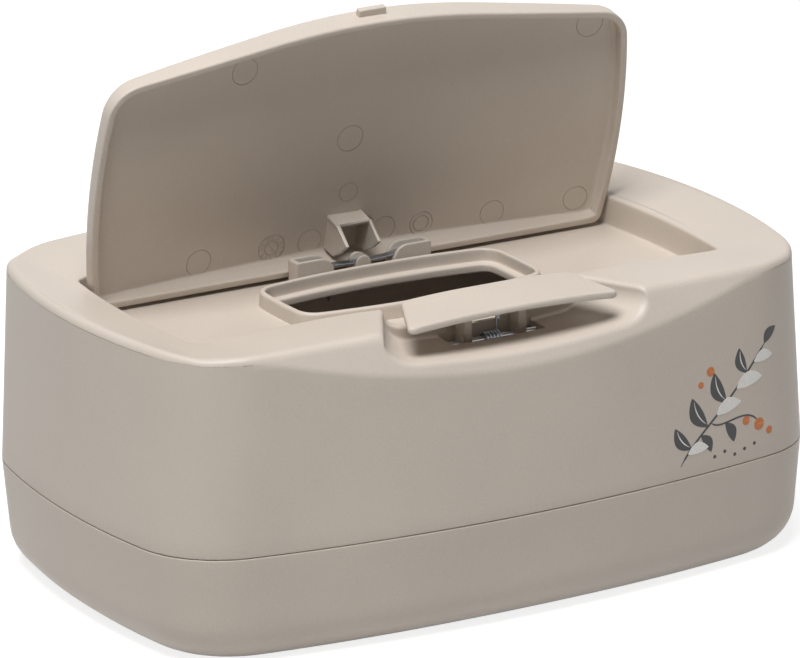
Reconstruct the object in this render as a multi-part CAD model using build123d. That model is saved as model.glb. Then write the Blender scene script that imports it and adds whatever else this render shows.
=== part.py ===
# Baby wipes box: a deep tray, a lift-off housing with a dished rim, a sprung lid over the
# dispensing opening, and a press button in the front scoop that holds the lid shut.
# Frame: millimetres, origin at the bottom centre, +X along the length, +Y to the back, +Z up.
# The parts are written with the lid open and the button released.
import os
from math import atan, cos, degrees, radians, sin, sqrt, tan

from build123d import *

# Outline of the box
box_length = 250.0
box_depth = 166.0
long_radius = 500.0
end_radius = 284.0
corner_radius = 31.0
wall = 2.2

# Tray
seam_height = 36.5
tray_taper = 3.0
tray_bottom_fillet = 14.0
lip_height = 5.0
lip_depth = 6.0
lip_thickness = 1.6
lip_clearance = 0.3

# Housing walls and rim
rim_height = 102.0
rim_inset = 2.6
rim_long_radius = 700.0
rim_end_radius = 215.0
rim_edge_fillet = 2.5
facet_setback = 6.9
facet_tilt = 24.5

# Recess for the lid and its deck
end_land = 25.7
front_land = 30.6
back_land = 40.4
recess_depth = 14.4
recess_corner_radius = 4.0
recess_side_radius = 320.0
recess_side_centre_y = 0.0
nose_radius = 255.0
flank_angle = 8.3
dish_depth = 4.2
dish_start = 40.0
dish_margin = 0.08
recess_half_length = box_length / 2 - end_land
recess_front = box_depth / 2 - front_land
recess_back = box_depth / 2 - back_land
recess_front_wall = recess_front + wall
deck_height = rim_height - recess_depth
deck_under = deck_height - wall

# Collar round the dispensing opening
collar_end_land = 53.7
collar_front_land = 30.4
collar_back_land = 21.3
collar_long_radius = 230.0
collar_end_radius = 200.0
collar_corner_radius = 8.0
collar_wall = 1.8
collar_rise = 5.0
collar_lip = 2.6
collar_half_length = recess_half_length - collar_end_land
collar_front = recess_front - collar_front_land
collar_back = recess_back - collar_back_land
collar_half_depth = (collar_front + collar_back) / 2
collar_centre_y = (collar_back - collar_front) / 2

# Lid, drawn closed and then turned open
lid_gap = 0.6
lid_front_gap = 0.5
lid_back_gap = 4.0
lid_deck_gap = 1.8
lid_side_radius = 220.0
lid_side_centre_y = -1.0
lid_front_corner_radius = 11.8
lid_wall = 2.4
lid_back_corner_radius = lid_wall + 0.4
lid_side_height = 6.0
lid_crown = 4.8
lid_edge_fillet = 2.4
lid_opening_angle = 76.7
hinge_setback = 3.6
hinge_rise = 5.6
lid_front = recess_front - lid_front_gap
lid_back = recess_back - lid_back_gap
skirt_bottom = deck_height + lid_deck_gap
hinge_y = lid_back - hinge_setback
hinge_z = deck_height + hinge_rise

# Hinge pins
pin_radius = 1.0
pin_clearance = 0.05
socket_wall = 2.0
socket_depth = 4.4

# Hood under the lid that rides on the leaf spring, set out from the hinge and the deck
hood_half_width = 6.6
hood_wall = 1.2
hood_top_reach = 12.4
hood_knee_reach = 12.1
hood_knee_rise = 3.1
hood_tip_reach = 7.8
hood_tip_drop = 4.4
hood_heel_reach = 3.2
hood_heel_drop = 0.2
hood_root_rise = 4.0
hood_knee_y = hinge_y - hood_knee_reach
hood_heel_y = hinge_y - hood_heel_reach

# Spring seat: two channel blocks and a saddle on the deck
block_reach = 11.6
block_depth = 6.4
block_inner_x = 11.3
block_outer_x = 25.1
block_rise = 8.4
block_nose_radius = 5.0
seat_wall = 1.3
saddle_half_width = 2.9
saddle_setback = 0.9
saddle_rise = 7.0
slot_clearance = 0.8
leaf_centre_rise = 4.4
leaf_bow_radius = 130.0
leaf_thickness = 0.5
leaf_half_length = 23.6
leaf_side_play = 0.2
block_front = hinge_y - block_reach

# Scoop and notch in the front of the rim
scoop_back_half_width = 35.8
scoop_front_half_width = 47.4
scoop_floor_rise = 2.8
scoop_floor_radius = 320.0
scoop_corner_radius = 8.0
sill_rise = 8.4
well_half_width = 17.0
well_reach = 11.6
well_drop = 3.6
scoop_floor = deck_height + scoop_floor_rise
sill_height = deck_height + sill_rise
well_front = recess_front + well_reach
well_floor = deck_height - well_drop

# Press button
button_back_half_width = 31.0
button_front_half_width = 38.9
button_back_gap = 2.8
button_length = 18.9
button_rise = 4.2
button_fall = 2.6
button_crown_radius = 470.0
button_thickness = 2.2
button_round = 0.9
axle_reach = 6.1
axle_rise = 1.0
axle_radius = 1.25
button_boss_radius = 3.0
arm_x = 10.0
arm_thickness = 3.0
hook_half_width = 4.0
hook_overhang = -0.6
hook_gap = 0.3
catch_half_width = 5.0
catch_projection = 2.4
catch_rise = 4.6
catch_height = 2.4
button_back = recess_front + button_back_gap
button_front = button_back + button_length
button_back_z = rim_height + button_rise
axle_y = -recess_front - axle_reach
axle_z = deck_height + axle_rise
catch_bottom = skirt_bottom + catch_rise

# Return spring on the button axle
spring_wire_radius = 0.35
spring_coil_radius = 2.2
spring_pitch = 1.2
spring_turns = 5.5
spring_bend_swell = 1.15

# Rear clip tongue inside the housing
tongue_half_width = 16.0
tongue_drop = 3.6
tongue_height = 22.0
tongue_thickness = 1.2
tongue_rib = 1.4
pip_radius = 3.2
pip_spacing = 17.0
tongue_top = deck_height - tongue_drop
tongue_bottom = tongue_top - tongue_height


def oval(half_length, half_depth, long_r, end_r, corner_r, grow=0.0):
    """Rounded rectangle whose four sides bulge outwards, grown outwards by grow."""
    a, b = half_length + grow, half_depth + grow
    long_r, end_r, corner_r = long_r + grow, end_r + grow, corner_r + grow
    front_and_back = Pos(0, long_r - b) * Circle(long_r) & Pos(0, b - long_r) * Circle(long_r)
    ends = Pos(end_r - a, 0) * Circle(end_r) & Pos(a - end_r, 0) * Circle(end_r)
    plain = front_and_back & ends
    return fillet(plain.vertices(), corner_r)


def seam_outline(grow=0.0):
    return oval(box_length / 2, box_depth / 2, long_radius, end_radius, corner_radius, grow)


def rim_outline(grow=0.0):
    half_length = box_length / 2 - rim_inset
    half_depth = box_depth / 2 - rim_inset
    return oval(half_length, half_depth, rim_long_radius, rim_end_radius, corner_radius, grow)


def collar_outline(grow=0.0):
    ring = oval(collar_half_length, collar_half_depth, collar_long_radius, collar_end_radius,
                collar_corner_radius, grow)
    return Pos(0, collar_centre_y) * ring


def nosed_outline(half_length, front, back, side_r, side_y, front_r, back_r, grow=0.0):
    """Outline shared by the recess and the lid: arced sides, a straight back, and a front that
    is an arc in the middle with straight flanks tangent to it."""
    nose_r = nose_radius + grow
    tip_y = -(front + grow)
    arc_x = nose_r * sin(radians(flank_angle))
    arc_y = tip_y + nose_r * (1 - cos(radians(flank_angle)))
    wide = half_length + front_r + grow
    flank_y = arc_y + (wide - arc_x) * tan(radians(flank_angle))
    back_y = back + grow
    edges = [
        ThreePointArc((-arc_x, arc_y), (0, tip_y), (arc_x, arc_y)),
        Line((arc_x, arc_y), (wide, flank_y)),
        Line((wide, flank_y), (wide, back_y)),
        Line((wide, back_y), (-wide, back_y)),
        Line((-wide, back_y), (-wide, flank_y)),
        Line((-wide, flank_y), (-arc_x, arc_y)),
    ]
    band = make_face(edges)
    offset_x = side_r - half_length
    right = Pos(-offset_x, side_y) * Circle(side_r + grow)
    left = Pos(offset_x, side_y) * Circle(side_r + grow)
    plain = band & right & left
    corners = [v for v in plain.vertices() if abs(v.X) > arc_x * 1.5]
    plain = fillet([v for v in corners if v.Y > side_y], back_r + grow)
    corners = [v for v in plain.vertices() if abs(v.X) > arc_x * 1.5 and v.Y < side_y]
    return fillet(corners, front_r + grow)


def recess_outline(grow=0.0):
    return nosed_outline(recess_half_length, recess_front, recess_back, recess_side_radius,
                         recess_side_centre_y, recess_corner_radius, recess_corner_radius, grow)


def lid_outline(grow=0.0):
    return nosed_outline(recess_half_length - lid_gap, lid_front, lid_back, lid_side_radius,
                         lid_side_centre_y, lid_front_corner_radius, lid_back_corner_radius, grow)


def recess_side_x():
    """Half length of the recess beside the hinge pins."""
    return recess_half_length - recess_side_radius + sqrt(
        recess_side_radius**2 - (hinge_y - recess_side_centre_y) ** 2)


def lid_side_x():
    """Half length of the lid beside the hinge pins."""
    return recess_half_length - lid_gap - lid_side_radius + sqrt(
        lid_side_radius**2 - (hinge_y - lid_side_centre_y) ** 2)


def prism(sketch, bottom, top):
    """Upright prism on a plan sketch between two heights."""
    return extrude(Pos(0, 0, bottom) * sketch, amount=top - bottom)


def block(x0, x1, y0, y1, z0, z1):
    """Box between opposite corners."""
    return Pos((x0 + x1) / 2, (y0 + y1) / 2, (z0 + z1) / 2) * Box(x1 - x0, y1 - y0, z1 - z0)


def side_plate(points, x0, x1):
    """Plate cut to a Y-Z outline, from x0 to x1."""
    outline = make_face(Polyline(*[(x0, y, z) for y, z in points], close=True))
    return extrude(outline, amount=x1 - x0, dir=(1, 0, 0))


def rod(radius, x0, x1, y, z):
    """Round rod along X."""
    return Pos((x0 + x1) / 2, y, z) * Rot(0, 90, 0) * Cylinder(radius, x1 - x0)


def front_profile(inset, corner_r):
    """Bar along X under the rim and behind the tilted facet, drawn inwards by inset, with the
    corner between rim and facet rounded."""
    drop = 2 * rim_height
    slope = tan(radians(facet_tilt))
    corner_y = -(box_depth / 2 - rim_inset - facet_setback) + inset / cos(radians(facet_tilt))
    corner_y -= inset * slope
    top = rim_height - inset
    outline = Polyline((corner_y, top), (corner_y - drop * slope, top - drop),
                       (box_depth, top - drop), (box_depth, top), close=True)
    sketch = make_face(outline)
    if corner_r > 0:
        sketch = fillet(sketch.vertices().sort_by_distance((corner_y, top, 0))[0], corner_r)
    return extrude(Plane.YZ * sketch, amount=box_length, both=True)


def wall_body(grow=0.0):
    """Tapered body of the housing between the seam and the rim."""
    lower = Pos(0, 0, seam_height) * seam_outline(grow)
    upper = Pos(0, 0, rim_height) * rim_outline(grow)
    return loft([lower, upper], ruled=True)


def scoop_plan(front, back, grow=0.0):
    """Plan of the scoop: narrow at the lid, flared to the front."""
    slope = (scoop_front_half_width - scoop_back_half_width) / (box_depth / 2 - facet_setback
                                                                - rim_inset - recess_front)

    def half_width(y):
        return scoop_back_half_width + grow + (-y - recess_front) * slope

    y0, y1 = -front - grow, -back + grow
    corners = [(-half_width(y0), y0), (half_width(y0), y0), (half_width(y1), y1), (-half_width(y1), y1)]
    return make_face(Polyline(*corners, close=True))


def scoop_space(grow=0.0):
    """Finger space under the button, with an arched floor and rounded lower corners."""
    floor_r = scoop_floor_radius + grow
    plan = scoop_plan(box_depth / 2, recess_front_wall, grow)
    tall = prism(plan, scoop_floor - grow, rim_height + wall)
    barrel = Pos(0, -box_depth / 2, scoop_floor - grow + floor_r) * Rot(90, 0, 0) * Cylinder(
        floor_r, 2 * box_depth)
    space = tall & barrel
    low_edges = [e for e in space.edges() if abs(e.center().X) > scoop_back_half_width
                 and e.center().Z < rim_height and e.bounding_box().size.Y > wall]
    return fillet(low_edges, scoop_corner_radius + grow)


def well_space(grow=0.0):
    """Pocket behind the scoop floor that takes the button axle."""
    top = scoop_floor + scoop_corner_radius
    return block(-well_half_width - grow, well_half_width + grow, -well_front - grow,
                 -recess_front_wall + grow, well_floor - grow, top)


def leaf_region(side, clearance):
    """Space above the bowed underside of the leaf spring, for one width of channel."""
    height = deck_height + leaf_centre_rise - clearance
    y0 = block_front + seat_wall
    y1 = block_front + block_depth - seat_wall
    tube = Pos(0, (y0 + y1) / 2, height + leaf_bow_radius) * Rot(90, 0, 0) * Cylinder(
        leaf_bow_radius, y1 - y0 - 2 * side)
    return tube & block(-block_outer_x * 2, block_outer_x * 2, y0, y1, deck_height, rim_height)


def spring_seat():
    """Channel blocks and saddle that carry the leaf spring."""
    back = block_front + block_depth
    top = deck_height + block_rise
    seat = []
    for sign in (-1, 1):
        x0, x1 = sorted((sign * block_inner_x, sign * block_outer_x))
        body = block(x0, x1, block_front, back, deck_under, top)
        nose = [e for e in body.edges().filter_by(Axis.Y)
                if e.center().Z > deck_height and abs(e.center().X) < block_inner_x + 1]
        seat.append(fillet(nose, block_nose_radius))
    saddle_top = deck_height + saddle_rise
    front = block_front + saddle_setback
    saddle = block(-saddle_half_width, saddle_half_width, front, back, deck_under,
                   saddle_top - saddle_half_width)
    arch = Pos(0, (front + back) / 2, saddle_top - saddle_half_width) * Rot(90, 0, 0) * Cylinder(
        saddle_half_width, back - front)
    seat.append(saddle + arch)
    channel = leaf_region(0.0, 0.0) & block(-leaf_half_length - leaf_side_play,
                                            leaf_half_length + leaf_side_play, block_front, back,
                                            deck_height, rim_height)
    return [piece - channel for piece in seat]


def hood_slots():
    """Two slots in the deck for the cheeks of the hood."""
    x0 = hood_half_width - hood_wall - slot_clearance
    x1 = hood_half_width + slot_clearance
    y0 = hood_knee_y - slot_clearance / 2
    y1 = hood_heel_y + 2 * slot_clearance
    return [block(*sorted((sign * x0, sign * x1)), y0, y1, deck_under - wall, deck_height + wall)
            for sign in (-1, 1)]


def pin_socket(sign):
    """Blind socket behind the recess wall for one hinge pin."""
    face = recess_side_x()
    x0, x1 = sorted((sign * face, sign * (face + wall + socket_depth)))
    return rod(pin_radius + socket_wall, x0, x1, hinge_y, hinge_z)


def pin_rod(sign, radius):
    """One hinge pin, from the inner face of the lid's side to the bottom of its socket."""
    x0 = lid_side_x() - lid_wall
    x1 = recess_side_x() + wall + socket_depth - socket_wall
    return rod(radius, *sorted((sign * x0, sign * x1)), hinge_y, hinge_z)


def rear_tongue():
    """Clip tongue on the back wall between two ribs, with two round pips."""
    slope = rim_inset / (rim_height - seam_height)
    inner_y = box_depth / 2 - wall - slope * (tongue_top - seam_height)
    face_y = inner_y - tongue_thickness
    reach = inner_y + wall / 2
    solids = [block(-tongue_half_width + tongue_rib, tongue_half_width - tongue_rib, face_y, reach,
                    tongue_bottom, tongue_top)]
    for sign in (-1, 1):
        x0, x1 = sorted((sign * tongue_half_width, sign * (tongue_half_width + tongue_rib)))
        solids.append(block(x0, x1, face_y - tongue_thickness, reach, tongue_bottom, tongue_top))
        pip_z = (tongue_bottom + tongue_top) / 2
        pip = Pos(sign * pip_spacing / 2, face_y, pip_z) * Rot(90, 0, 0) * Cylinder(
            pip_radius, 2 * tongue_thickness)
        solids.append(pip)
    return solids


def ramp(value):
    """Smooth step from 0 to 1."""
    t = min(max(value, 0.0), 1.0)
    return t * t * (3 - 2 * t)


def rim_drop(x, y):
    """How far the rim surface lies below its outer edge: both ends are dished towards the lid,
    and the drop fades out at the outer edge and along the front. Off the dish it is negative."""
    half_length = box_length / 2 - rim_inset - rim_edge_fillet
    half_depth = box_depth / 2 - rim_inset - rim_edge_fillet
    end_x = half_length - y * y / (2 * rim_end_radius)
    front_y = facet_setback - half_depth
    corner_y = recess_half_length * tan(radians(flank_angle)) - recess_front
    along = ramp((abs(x) - dish_start) / (recess_half_length - dish_start))
    outwards = (end_x - abs(x)) / (end_x - recess_half_length)
    forwards = (y - front_y) / (corner_y - front_y)
    backwards = (half_depth - y) / (half_depth - recess_back)
    fade = min(max(min(outwards, forwards, backwards), -0.5), 1.0)
    return dish_depth * (along * fade * (1 + dish_margin) - dish_margin)


def dish_cutter(depth=0.0):
    """Everything above the dished rim surface, lowered by depth."""
    reach_x, reach_y = box_length / 2 + wall, box_depth / 2 + wall
    columns, rows = 33, 23
    points = []
    for i in range(columns):
        x = -reach_x + 2 * reach_x * i / (columns - 1)
        points.append([])
        for j in range(rows):
            y = -reach_y + 2 * reach_y * j / (rows - 1)
            points[i].append(Vector(x, y, rim_height - depth - rim_drop(x, y)))
    surface = Face.make_surface_from_array_of_points(points, tol=0.05)
    return extrude(surface, amount=rim_height, dir=(0, 0, 1))


def make_housing():
    """Shell with the lid recess, its deck and collar, the scoop, the well and the spring seat."""
    outer = wall_body()
    outer = fillet(outer.faces().sort_by(Axis.Z)[-1].edges(), rim_edge_fillet)
    outer &= front_profile(0.0, rim_edge_fillet)
    cavity = (wall_body(-wall) & front_profile(wall, 0.0)) - dish_cutter(wall)
    shell = outer - cavity
    inside = outer - block(-box_length, box_length, -box_depth, box_depth, 0, well_floor - 2 * wall)
    shell += inside & prism(recess_outline(wall), deck_under, 2 * rim_height)
    shell += inside & scoop_space(wall)
    shell += inside & well_space(wall)
    for sign in (-1, 1):
        shell += inside & pin_socket(sign)
    for solid in rear_tongue():
        shell += solid
    shell -= prism(recess_outline(), deck_height, 2 * rim_height)
    shell -= scoop_space()
    shell -= prism(scoop_plan(box_depth / 2, recess_front - wall), sill_height, 2 * rim_height)
    shell -= well_space()
    shell -= catch_notch()
    shell += prism(collar_outline(), deck_under, deck_height + collar_rise)
    shell -= prism(collar_outline(-collar_wall), deck_height, 2 * rim_height)
    shell -= prism(collar_outline(-collar_wall - collar_lip), deck_under - wall, 2 * rim_height)
    shell -= dish_cutter()
    for solid in spring_seat():
        shell += solid
    for solid in hood_slots():
        shell -= solid
    for sign in (-1, 1):
        shell -= pin_rod(sign, pin_radius)
    shell -= rod(axle_radius, -well_half_width - wall, well_half_width + wall, axle_y, axle_z)
    return shell


def make_tray():
    """Deep tray with rounded bottom edges and a lip that locates the housing."""
    top = Pos(0, 0, seam_height) * seam_outline()
    outer = loft([seam_outline(-tray_taper), top], ruled=True)
    outer = fillet(outer.faces().sort_by(Axis.Z)[0].edges(), tray_bottom_fillet)
    inner = loft([Pos(0, 0, wall) * seam_outline(-tray_taper - wall),
                  Pos(0, 0, seam_height) * seam_outline(-wall)], ruled=True)
    inner = fillet(inner.faces().sort_by(Axis.Z)[0].edges(), tray_bottom_fillet - wall)
    lip_inset = wall + lip_clearance + rim_inset * lip_height / (rim_height - seam_height)
    ring = prism(seam_outline(-lip_inset), seam_height - lip_depth, seam_height + lip_height)
    ring += prism(seam_outline(-wall / 2), seam_height - lip_depth, seam_height)
    ring -= prism(seam_outline(-lip_inset - lip_thickness), 0, rim_height)
    return (outer - inner) + (ring - prism(seam_outline(wall), 0, seam_height - lip_depth))


def crown(drop):
    """Top of the lid: a barrel along Y that is highest in the middle of the length."""
    half_length = recess_half_length - lid_gap
    barrel_r = (half_length**2 + lid_crown**2) / (2 * lid_crown)
    top = skirt_bottom + lid_side_height + lid_crown - drop
    return Pos(0, 0, top - barrel_r) * Rot(90, 0, 0) * Cylinder(barrel_r, 4 * box_depth)


def make_hood():
    """Two cheeks and a plate between them, under the lid in the closed pose."""
    top = skirt_bottom + lid_side_height + lid_crown - lid_wall
    knee_z = deck_height + hood_knee_rise
    top_y = hinge_y - hood_top_reach
    cheek = [(hinge_y - hood_tip_reach, deck_height - hood_tip_drop), (hood_knee_y, knee_z),
             (top_y, top), (hinge_y, top), (hinge_y, deck_height + hood_root_rise),
             (hood_heel_y, deck_height - hood_heel_drop)]
    plate = [(hood_knee_y, knee_z), (top_y, top), (top_y + hood_wall, top),
             (hood_knee_y + hood_wall, knee_z)]
    inner_x = hood_half_width - hood_wall
    hood = side_plate(plate, -hood_half_width, hood_half_width)
    hood += side_plate(cheek, inner_x, hood_half_width)
    hood += side_plate(cheek, -hood_half_width, -inner_x)
    return hood


def catch_notch():
    """Notch in the front wall of the recess that the lid's catch drops into."""
    half_width = catch_half_width + slot_clearance
    return block(-half_width, half_width, -recess_front_wall - wall, -recess_front + wall / 2,
                 catch_bottom - slot_clearance, rim_height)


def make_lid():
    """Shallow lid with its catch, hood and two pin holes, built closed and turned open."""
    top = skirt_bottom + lid_side_height + lid_crown
    outer = prism(lid_outline(), skirt_bottom, 2 * top) & crown(0.0)
    rim = outer.faces().sort_by(Axis.Z)[-1].edges()
    outer = fillet(rim, lid_edge_fillet)
    lid = outer - (prism(lid_outline(-lid_wall), 0, 2 * top) & crown(lid_wall))
    catch_front = -lid_front - catch_projection
    lid += block(-catch_half_width, catch_half_width, catch_front, -lid_front + lid_wall / 2,
                 catch_bottom, catch_bottom + catch_height)
    lid += make_hood()
    for sign in (-1, 1):
        x0, x1 = sorted((sign * (lid_side_x() - 2 * lid_wall), sign * box_length / 2))
        lid -= rod(pin_radius + pin_clearance, x0, x1, hinge_y, hinge_z)
    return lid.rotate(Axis((0, hinge_y, hinge_z), (1, 0, 0)), -lid_opening_angle)


def make_leaf_spring():
    """Bowed steel strip in the channel of the two blocks."""
    leaf = leaf_region(leaf_side_play, 0.0)
    inner_r = leaf_bow_radius - leaf_thickness
    height = deck_height + leaf_centre_rise + leaf_bow_radius
    leaf -= Pos(0, block_front, height) * Rot(90, 0, 0) * Cylinder(inner_r, box_depth)
    return leaf & block(-leaf_half_length, leaf_half_length, 0, box_depth, deck_height, rim_height)


def button_plate():
    """Top plate of the button: flared in plan, arched from side to side, sloping to the front."""
    y0, y1 = -button_front, -button_back
    outline = make_face(Polyline(
        (-button_back_half_width, y1), (button_back_half_width, y1),
        (button_front_half_width, y0), (-button_front_half_width, y0), close=True))
    slope = degrees(atan(button_fall / button_length))
    lie = Pos(0, y1, button_back_z) * Rot(slope, 0, 0) * Pos(0, 0, -button_crown_radius) * Rot(90, 0, 0)
    arch = lie * Cylinder(button_crown_radius, 4 * button_length)
    arch -= lie * Cylinder(button_crown_radius - button_thickness, 4 * button_length)
    plate = prism(outline, 0, 2 * rim_height) & arch
    return fillet(plate.edges(), button_round)


def make_button():
    """Plate with a hook over the lid's catch and two arms that turn on the axle."""
    under_back = button_back_z - button_thickness
    into_plate = under_back + button_thickness / 4
    arm_back = -button_back - button_round
    button = button_plate()
    arm = [(axle_y - button_boss_radius, axle_z), (axle_y + button_boss_radius, axle_z),
           (arm_back, under_back - button_round), (arm_back, into_plate),
           (axle_y - button_boss_radius, under_back)]
    for sign in (-1, 1):
        x0, x1 = sorted((sign * (arm_x - arm_thickness / 2), sign * (arm_x + arm_thickness / 2)))
        button += side_plate(arm, x0, x1)
        button += rod(button_boss_radius, x0, x1, axle_y, axle_z)
    catch_top = catch_bottom + catch_height
    nose_z = catch_top + hook_gap
    post_front = -recess_front_wall - 3 * hook_gap
    hook = [(post_front - wall, nose_z), (hook_overhang - recess_front, nose_z),
            (post_front, nose_z + 2 * wall),
            (post_front, into_plate), (post_front - wall, into_plate)]
    button += side_plate(hook, -hook_half_width, hook_half_width)
    bore = rod(axle_radius + pin_clearance, -well_half_width, well_half_width, axle_y, axle_z)
    return button - bore


def make_button_axle():
    """Steel axle through both walls of the well."""
    return rod(axle_radius, -well_half_width - wall, well_half_width + wall, axle_y, axle_z)


def make_button_spring():
    """Torsion spring round the axle: one leg under the hook, one leg on the well floor. Each leg
    starts in a small round bend at its end of the coil."""
    length = spring_pitch * spring_turns
    coil_path = Helix(pitch=spring_pitch, height=length, radius=spring_coil_radius)
    section = Plane(origin=coil_path @ 0, z_dir=coil_path % 0) * Circle(spring_wire_radius)
    upright = Pos(-length / 2, axle_y, axle_z) * Rot(0, 90, 0) * Rot(0, 0, -90)
    low_end, high_end = [(upright * Vertex(*(coil_path @ t))).center() for t in (0, 1)]
    bend = Sphere(spring_wire_radius * spring_bend_swell)
    spring = upright * sweep(section, path=coil_path) + [Pos(*low_end) * bend, Pos(*high_end) * bend]
    rise = catch_bottom + catch_height - high_end.Z
    spring += Pos(*high_end) * Cylinder(spring_wire_radius, rise, align=(Align.CENTER, Align.CENTER, Align.MIN))
    fall = low_end.Z - well_floor
    spring += Pos(*low_end) * Cylinder(spring_wire_radius, fall, align=(Align.CENTER, Align.CENTER, Align.MAX))
    return spring


def write_parts():
    os.makedirs("parts", exist_ok=True)
    parts = {
        "base_tray": make_tray(),
        "housing": make_housing(),
        "lid": make_lid(),
        "leaf_spring": make_leaf_spring(),
        "hinge_pin_left": pin_rod(-1, pin_radius),
        "hinge_pin_right": pin_rod(1, pin_radius),
        "button": make_button(),
        "button_axle": make_button_axle(),
        "button_spring": make_button_spring(),
    }
    for name, solid in parts.items():
        export_step(solid, f"parts/{name}.step")
        print(name, round(solid.volume), "mm3,", len(solid.solids()), "solid")


write_parts()
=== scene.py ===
# %% [markdown]
# # A box for baby wipes, dressed for its picture
#
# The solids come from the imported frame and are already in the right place, in metres, with +Z up
# and the back of the box at +Y. This notebook gives the box its visible skin: one cell makes one
# real piece or one real finish, and prints what it made. Sizes below are in millimetres, because
# that is how a mould is drawn, and they turn into metres only when a mesh is written.

import bmesh
import bpy
import numpy as np
from mathutils import Matrix, Vector


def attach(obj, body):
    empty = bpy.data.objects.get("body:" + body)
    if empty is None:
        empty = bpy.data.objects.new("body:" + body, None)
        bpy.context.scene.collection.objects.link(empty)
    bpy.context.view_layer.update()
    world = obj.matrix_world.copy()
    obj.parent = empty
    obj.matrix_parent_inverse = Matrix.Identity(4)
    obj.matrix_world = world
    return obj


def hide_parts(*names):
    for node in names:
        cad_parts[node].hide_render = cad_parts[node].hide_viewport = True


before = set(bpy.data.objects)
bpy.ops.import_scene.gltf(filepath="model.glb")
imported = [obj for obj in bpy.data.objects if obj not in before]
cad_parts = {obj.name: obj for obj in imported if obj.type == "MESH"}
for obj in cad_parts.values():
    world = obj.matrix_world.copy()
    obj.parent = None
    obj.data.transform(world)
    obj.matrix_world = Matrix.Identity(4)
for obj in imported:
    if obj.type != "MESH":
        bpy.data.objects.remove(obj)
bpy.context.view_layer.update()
MM = 0.001

# %% [markdown]
# ## Where the camera stands
#
# The picture was taken from the front left, a little above the box, with a long lens from about
# two metres. A long lens keeps the two long edges of the rim nearly parallel. The camera is built
# from its three angles and its distance, so each number can be checked against the picture: the
# heading, how far it looks down, a small roll, and the point that it looks at.

# %% Camera
HEADING, LOOK_DOWN, ROLL = np.radians([29.267, 17.623, -0.784])
TARGET = np.array([0.0, 0.0, 63.7])
DISTANCE, ASIDE, ABOVE = 2246.41, 3.24, 11.8
FOCAL_PIXELS, PICTURE_WIDTH, PICTURE_HEIGHT = 6882.67, 800, 658
CENTRE_PIXEL = np.array([391.23, 328.34])

forward = np.array([np.sin(HEADING) * np.cos(LOOK_DOWN), np.cos(HEADING) * np.cos(LOOK_DOWN),
                    -np.sin(LOOK_DOWN)])
level = np.array([np.cos(HEADING), -np.sin(HEADING), 0.0])
upright = np.cross(level, forward)
right = np.cos(ROLL) * level + np.sin(ROLL) * upright
up = np.cos(ROLL) * upright - np.sin(ROLL) * level
stand = TARGET - ASIDE * right + ABOVE * up - DISTANCE * forward

lens = bpy.data.cameras.new("camera")
lens.sensor_width = 36.0
lens.lens = FOCAL_PIXELS / PICTURE_WIDTH * lens.sensor_width
lens.shift_x = (PICTURE_WIDTH / 2 - CENTRE_PIXEL[0]) / PICTURE_WIDTH
lens.shift_y = (CENTRE_PIXEL[1] - PICTURE_HEIGHT / 2) / PICTURE_WIDTH
lens.clip_end = 20.0
camera = bpy.data.objects.new("camera", lens)
camera.matrix_world = Matrix([[*row, place * MM] for row, place in
                              zip(np.stack([right, up, -forward], axis=1).tolist(), stand.tolist())]
                             + [[0, 0, 0, 1]])
bpy.context.collection.objects.link(camera)
bpy.context.scene.camera = camera
print("lens, mm:", round(lens.lens, 1), "camera at, mm:", np.round(stand, 1))

# %% [markdown]
# ## From a drawing to a mesh
#
# Every moulded piece below is a surface worked out as a grid of points: one direction of the grid
# runs round the piece and the other runs along its cross-section. `write_piece` joins such grids
# into one mesh. Points that fall together, at a pole for instance, are merged, so the skin closes,
# and edges sharper than a set angle stay crisp while the rest shades smoothly.

# %% Mesh helpers
SHARP_ANGLE = 38.0


def squares(rows, columns, wrap_rows, wrap_columns):
    """Corner numbers of all the squares of a grid whose points are counted row by row."""
    row = np.arange(rows if wrap_rows else rows - 1)[:, None]
    column = np.arange(columns if wrap_columns else columns - 1)[None, :]
    next_row, next_column = (row + 1) % rows, (column + 1) % columns
    corners = [row * columns + column, row * columns + next_column,
               next_row * columns + next_column, next_row * columns + column]
    return np.stack(np.broadcast_arrays(*corners), axis=-1).reshape(-1, 4)


def write_piece(name, grids, sharp_angle=SHARP_ANGLE):
    """One object from several grids. A grid is (points, wrap_rows, wrap_columns), its points an
    array of rows x columns x 3 in mm. All the grids are closed skins, so their normals can be
    turned outwards afterwards."""
    points, faces, first = [], [], 0
    for grid, wrap_rows, wrap_columns in grids:
        rows, columns = grid.shape[:2]
        points.append(grid.reshape(-1, 3) * MM)
        faces.append(squares(rows, columns, wrap_rows, wrap_columns) + first)
        first += rows * columns
    mesh = bpy.data.meshes.new(name)
    mesh.from_pydata(np.concatenate(points).tolist(), [], np.concatenate(faces).tolist())
    finish_mesh(mesh, sharp_angle)
    piece = bpy.data.objects.new(name, mesh)
    bpy.context.collection.objects.link(piece)
    return piece


def finish_mesh(mesh, sharp_angle):
    """Merges equal points, turns the faces outwards and marks the crisp edges."""
    work = bmesh.new()
    work.from_mesh(mesh)
    bmesh.ops.remove_doubles(work, verts=work.verts, dist=2e-6)
    bmesh.ops.dissolve_degenerate(work, edges=work.edges, dist=1e-7)
    bmesh.ops.recalc_face_normals(work, faces=work.faces)
    work.to_mesh(mesh)
    work.free()
    mesh.shade_smooth()
    mesh.set_sharp_from_angle(angle=np.radians(sharp_angle))


def describe(piece):
    triangles = sum(len(face.vertices) - 2 for face in piece.data.polygons)
    size = [round(v / MM, 1) for v in piece.dimensions]
    print(f"{piece.name}: {triangles} triangles, {size} mm")

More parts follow.
